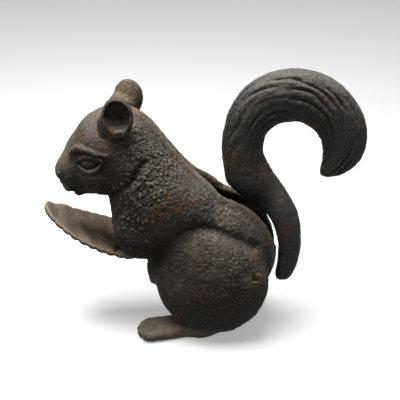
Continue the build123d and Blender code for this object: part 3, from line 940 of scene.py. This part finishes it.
def paw_dish():
    """Tray like two cupped paws, with the fingers showing on its outer wall."""
    low = (-90, -20, 40)
    p = room(low, (-32, 20, 80))
    q = tray_frame(p)
    along, across, _ = q
    fingers = 1 - np.abs(np.sin(math.pi * (along + 2.2) / FINGER_PITCH)) ** 0.6
    wall_band = rise(np.abs(across), 5, 4) * rise(along, 31, -6)
    wall = egg(q, *DISH_WALL) + fingers * wall_band
    edge = [tuple(point) for point in supple(TRAY_EDGE, 3)]
    plan = outline_distance(along, np.abs(across), edge + [(TRAY_TIP, -40), (TRAY_BACK, -40)])
    plan = plan + 0.45 * fingers * wall_band
    palms = 0.5 * np.sin(along / 3.1 + 0.6) * np.cos(across / 3.4)
    palms = palms + 0.35 * np.sin(along / 1.9 - across / 4.1) + 0.9 * bump(along + 12.5, 1.3)
    dish = egg(q, *DISH) - palms * rise(np.abs(across), 15, -4)
    made = sculpted("paw_dish", cut(-melt(-wall, -plan, 1.5), dish, 0.7), low)

    rim = tray_frame(vertices(made).T)
    # Painted shade on the outer wall and underside of the dish; the inside painted brighter, most at the
    # heel, partly for wear and partly as painted highlight.
    under = rise(egg(rim, *DISH), 1, 1)
    heel = bump(rim[0] + 7, 17) * rise(np.abs(rim[1]), 3, 5)
    plain_coat(made, (0.3 + 0.9 * heel) * (1 - under), 0.85 * under)
    return made


def rivet_line(start, end):
    """Points from end to end of a rivet, close together near its ends."""
    start = np.array(start, float)
    end = np.array(end, float)
    length = np.linalg.norm(end - start)
    near = [0, 0.05, 0.15, 0.3, 0.5, 0.75, 1.1, 2.0]
    stops = near + [length - d for d in reversed(near)]
    return [start + (end - start) * s / length for s in stops]


def rivets(name, lines, tree, steel, radius, seed):
    """One piece with a peened rivet on each line."""
    points = []
    edges = []
    for start, end in lines:
        first_one = len(points)
        points += rivet_line(start, end)
        edges += [(i, i + 1) for i in range(first_one, len(points) - 1)]
    made = mesh_object(name, points, edges, [])
    grow(made, tree, radius=radius, steel=steel, seed=seed)
    return made


def cross_rivet(node_name, proud):
    """Ends of a rivet across the body, from its place in the frame."""
    low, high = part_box(node_name)
    x = (low[0] + high[0]) / 2 / MM
    z = (low[2] + high[2]) / 2 / MM
    end = high[1] / MM + proud
    return [((x, -end, z), (x, end, z))]


def tray_rivet_lines():
    """Ends of the two rivets that hold the dish on the forearm."""
    low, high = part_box("tray_rivets")
    x, _, z = ((a + b) / 2 / MM for a, b in zip(low, high))
    dx, dz = turned(0, TRAY_RIVET_REACH, TRAY_SLOPE)
    return [((x - dx, y, z - dz), (x + dx, y, z + dz)) for y in (-TRAY_RIVET_SIDE, TRAY_RIVET_SIDE)]


# ---------- finishes
def cast_grain_group():
    """Fine grain and blow holes of sand cast iron."""
    tree, place, given, result = mask_tree(
        "cast_grain", {"Grain Size": 1.0, "Pit Size": 1.4, "Pit Share": 0.4}, "Grain", "Pits", "Height")
    grain = cloud(place, given["Grain Size"], given["Seed"], 3.0, 0.65)
    holes = cloud(place, given["Pit Size"], given["Seed"] + 7.0, 1.0)
    low = 0.8 - given["Pit Share"] * 0.4
    pits = ramp(holes, low, low + 0.08)
    for name, value in (("Grain", grain), ("Pits", pits), ("Height", grain - pits)):
        link(value, result[name])
    return tree


def rubbed_and_painted_light_group():
    """Where the iron is painted brighter: its raised points, rubbed by handling, and the places marked for
    rubbing and for painted highlight.
    """
    tree, place, given, result = mask_tree(
        "rubbed_iron", {"Raised": 0.0, "Worn": 0.0, "Start": 0.06, "Full": 0.3, "Patch Size": 5.0}, "Mask")
    spread = cloud(place, given["Patch Size"], given["Seed"], 4.0, 0.65)
    lifted = given["Raised"] + (spread - 0.55) * 0.3 + smaller(given["Worn"], 0.0)
    edge = ramp(lifted, given["Start"], given["Full"])
    link(larger(edge, given["Worn"] * ramp(spread, 0.22, 0.6)), result["Mask"])
    return tree


def rust_group():
    """Rust in loose patches of small flecks."""
    tree, place, given, result = mask_tree(
        "rust_flecks", {"Patch Size": 16.0, "Fleck Size": 1.6, "Share": 0.5}, "Mask")
    low = 0.72 - given["Share"] * 0.35
    spread = ramp(cloud(place, given["Patch Size"], given["Seed"]), low, low + 0.14)
    fleck = cloud(place, given["Fleck Size"], given["Seed"] + 3.0, 3.0, 0.6)
    link(spread * ramp(fleck, 0.47, 0.6), result["Mask"])
    return tree


def upper_side_group():
    """Faces that look up, where dust and handling dull the black, and where painted top light brightens
    it.
    """
    tree, place, given, result = mask_tree(
        "upper_side", {"Facing": ARROW, "Low": 0.1, "High": 0.9, "Patch Size": 7.0}, "Mask")
    spread = cloud(place, given["Patch Size"], given["Seed"], 4.0, 0.6) - 0.5
    up = wire(tree, "ShaderNodeSeparateXYZ", given["Facing"], take="Z")
    link(ramp(up + spread, given["Low"], given["High"]), result["Mask"])
    return tree


GRAIN = cast_grain_group()
RUBBED_AND_PAINTED_LIGHT_IRON = rubbed_and_painted_light_group()
RUST = rust_group()
UPPER_SIDE = upper_side_group()
WORN_PATCH = 5.0
RUST_PATCH = 16.0
RUST_FLECK = 1.7
DUST_AND_TOP_LIGHT_PATCH = 7.0
BUMP_DEPTH = 0.0006  # metres
ROUGHNESS = 0.7
PIT_BLACK = (0.004, 0.004, 0.004, 1)
PAINTED_SHADE_BLACK = (0.004, 0.0038, 0.004, 1)


def blended(share, under, over):
    """Colour over another by a share."""
    return wire(share.tree, "ShaderNodeMix", share, under, over, data_type="RGBA")


def attribute(tree, name):
    return wire(tree, "ShaderNodeAttribute", take="Fac", attribute_name=name)


def mask(tree, group, *inputs):
    """First output of a shader group."""
    return wire(tree, "ShaderNodeGroup", *inputs, node_tree=group)


def iron_finish(name, skin_tone, top_tone, worn_tone, rust_tone, seed, wear, top, rust, pits, speck,
                grain=1.0):
    """Old black iron: dark skin, upper sides lighter for dust and painted top light, rubbed points with
    painted highlight, rust, and painted shade in hollows.
    """
    made = bpy.data.materials.new(name)
    made.use_nodes = True
    tree = made.node_tree
    shader = tree.nodes["Principled BSDF"].inputs
    place = wire(tree, "ShaderNodeTexCoord", take="Object")
    facing = wire(tree, "ShaderNodeNewGeometry", take="Normal")
    raised = attribute(tree, "raised")
    worn = attribute(tree, "worn")
    cast = node(tree, "ShaderNodeGroup", place, grain, 1.5 * grain, pits, seed, node_tree=GRAIN).outputs
    cast_grain = Wire(cast["Grain"])
    rubbed_and_painted_light = mask(tree, RUBBED_AND_PAINTED_LIGHT_IRON, place, raised, worn, *wear, WORN_PATCH, seed)
    rusty = mask(tree, RUST, place, RUST_PATCH, RUST_FLECK, rust, seed)
    above = mask(tree, UPPER_SIDE, place, facing, *top, DUST_AND_TOP_LIGHT_PATCH, seed)
    # Upper sides lighter, partly dust and partly painted top light.
    colour = blended(above, (*skin_tone, 1), (*top_tone, 1))
    coarse = ramp(attribute(tree, "fur"), 0.0, 0.3) * 0.6 + 0.4
    pale = work("MULTIPLY", colour, (speck, 0.95 * speck, 0.87 * speck))
    colour = blended(ramp(cast_grain, 0.5, 0.64) * coarse, colour, pale)
    colour = blended(ramp(cast_grain, 0.52, 0.38) * (coarse * (0.25 * speck)), colour, PIT_BLACK)
    # Rubbed wear and painted highlight in a brighter tone.
    colour = blended(rubbed_and_painted_light * 0.75, colour, (*worn_tone, 1))
    colour = blended(rusty * 0.8, colour, (*rust_tone, 1))
    # Painted shade: black in concave places, in the blow holes and where the piece is marked for painted
    # shade.
    painted_shade = larger(ramp(raised * -1.0, 0.02, 0.35), Wire(cast["Pits"]))
    painted_shade = larger(painted_shade, attribute(tree, "painted_shade"))
    link(blended(painted_shade * 0.8, colour, PAINTED_SHADE_BLACK), shader["Base Color"])
    link((painted_shade - rubbed_and_painted_light) * 0.12 + ROUGHNESS, shader["Roughness"])
    shader["Metallic"].default_value = 0.15
    shader["Specular IOR Level"].default_value = 0.12
    link(wire(tree, "ShaderNodeBump", 1.0, BUMP_DEPTH, None, Wire(cast["Height"])), shader["Normal"])
    return made


BODY_IRON = iron_finish(
    "body_iron", (0.013, 0.0125, 0.0125), (0.083, 0.076, 0.066), (0.20, 0.155, 0.11), (0.15, 0.065, 0.028),
    1.0, wear=(0.11, 0.42), top=(-0.15, 0.85), rust=0.5, pits=0.2, speck=2.7)
TAIL_IRON = iron_finish(
    "tail_iron", (0.034, 0.0338, 0.034), (0.108, 0.102, 0.092), (0.15, 0.135, 0.11), (0.13, 0.065, 0.038),
    4.0, wear=(0.1, 0.45), top=(0.1, 0.9), rust=0.46, pits=0.1, speck=2.2)
TRAY_IRON = iron_finish(
    "tray_iron", (0.022, 0.018, 0.015), (0.145, 0.118, 0.092), (0.30, 0.225, 0.15), (0.16, 0.08, 0.04),
    8.0, wear=(0.02, 0.22), top=(-0.1, 0.5), rust=0.3, pits=0.1, speck=2.4)
RIVET_STEEL = iron_finish(
    "rivet_steel", (0.06, 0.042, 0.028), (0.13, 0.10, 0.065), (0.24, 0.18, 0.11), (0.18, 0.08, 0.035),
    11.0, wear=(0.06, 0.3), top=(0.1, 0.9), rust=0.5, pits=0.1, speck=1.6, grain=0.5)

# ---------- the nutcracker
wear_map = wear_map_tree()
fur_coat = coat_tree(wear_map)
combed_tail = tail_tree(wear_map)
peened_rivet = rivet_tree(wear_map)

sculpture = body_sculpture()
for side, seed in (("left", 11), ("right", 12)):
    half = body_half(side, sculpture)
    coat(half)
    grow(half, fur_coat, iron=BODY_IRON, seed=seed)
    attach(half, "body")
    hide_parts(side + "_body_shell")

tail_piece = tail(combed_tail, TAIL_IRON)
web_piece = lever_web()
grow(web_piece, fur_coat, iron=TAIL_IRON, seed=21, lump_height=0.1, grain_height=0.12)
for made in (tail_piece, web_piece):
    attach(made, "lever")
    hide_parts("tail_lever")

dish_piece = paw_dish()
grow(dish_piece, fur_coat, iron=TRAY_IRON, seed=31, lump_size=5.0, lump_height=0.3, grain_height=0.14)
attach(dish_piece, "lever")
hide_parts("paw_tray")

for node_name, lines, radius, body in (
    ("head_rivet", cross_rivet("head_rivet", 0.35), HEAD_RIVET[1], "body"),
    ("rump_rivet", cross_rivet("rump_rivet", 0.1), RUMP_RIVET[1], "body"),
    ("pivot_pin", cross_rivet("pivot_pin", 0.0), PIN_RADIUS, "body"),
    ("tray_rivets", tray_rivet_lines(), TRAY_RIVET_RADIUS, "lever"),
):
    made = rivets("peened_" + node_name, lines, peened_rivet, RIVET_STEEL, radius, 41)
    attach(made, body)
    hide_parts(node_name)

# ---------- stage
WHITE = (1, 1, 1, 1)
FLOOR_HALF = 3000
FLOOR_SEEN = (0.55, 0.55, 0.55, 1)
FLOOR_LIT = (0.1, 0.1, 0.1, 1)  # what it throws up at the iron
FLOOR_GLOW = 0.34  # added where it is seen
SKY = 0.27
SKY_SEEN = 0.22  # added where it is seen
LAMP_PLACE = Vector((-0.12, -0.04, 0.75))
LAMP_SIZE = 0.4
LAMP_POWER = 10.5
LAMP_AIM = Vector((0, 0, 0.08))
VIEW_CENTRE = Vector((0.0016, 0, 0.081))
VIEW_DISTANCE = 0.35
AZIMUTH = math.radians(4)
ELEVATION = math.radians(27)
LENS = 57.17


def where_seen(tree):
    """1 for what the camera sees, also in a reflection or through glass; 0 for light on the iron."""
    ray = node(tree, "ShaderNodeLightPath").outputs
    seen = larger(Wire(ray["Is Camera Ray"]), Wire(ray["Is Glossy Ray"]))
    return larger(seen, Wire(ray["Is Transmission Ray"]))


def floor_paint():
    """Pale floor, which throws less light up at the iron than it shows."""
    made = bpy.data.materials.new("floor_paint")
    made.use_nodes = True
    shader = made.node_tree.nodes["Principled BSDF"].inputs
    seen = where_seen(made.node_tree)
    link(blended(seen, FLOOR_LIT, FLOOR_SEEN), shader["Base Color"])
    link(seen * FLOOR_GLOW, shader["Emission Strength"])
    shader["Emission Color"].default_value = WHITE
    shader["Roughness"].default_value = 0.8
    return made


def aimed(name, data, place, way):
    """Lamp or camera at a place in metres, looking along a way."""
    made = bpy.data.objects.new(name, data)
    made.location = place
    made.rotation_euler = way.to_track_quat("-Z", "Y").to_euler()
    bpy.context.scene.collection.objects.link(made)
    return made


def stage():
    """Pale floor and soft light from above."""
    corners = [(x * FLOOR_HALF, y * FLOOR_HALF, 0) for x, y in ((-1, -1), (1, -1), (1, 1), (-1, 1))]
    floor = mesh_object("floor", corners, [], [(0, 1, 2, 3)])
    floor.data.materials.append(floor_paint())
    world = bpy.data.worlds.new("room")
    bpy.context.scene.world = world
    world.use_nodes = True
    sky = world.node_tree.nodes["Background"].inputs
    sky["Color"].default_value = WHITE
    link(where_seen(world.node_tree) * SKY_SEEN + SKY, sky["Strength"])
    lamp = bpy.data.lights.new("top_lamp", "AREA")
    lamp.energy = LAMP_POWER
    lamp.size = LAMP_SIZE
    aimed("top_lamp", lamp, LAMP_PLACE, LAMP_AIM - LAMP_PLACE)


def camera():
    """Camera a little above the squirrel, on its left side."""
    flat = math.cos(ELEVATION)
    back = Vector((math.sin(AZIMUTH) * flat, -math.cos(AZIMUTH) * flat, math.sin(ELEVATION)))
    data = bpy.data.cameras.new("camera")
    data.lens = LENS
    data.sensor_width = 36
    data.clip_start = 0.01
    bpy.context.scene.camera = aimed("camera", data, VIEW_CENTRE + back * VIEW_DISTANCE, -back)


stage()
camera()
bpy.context.scene.view_settings.view_transform = "Standard"
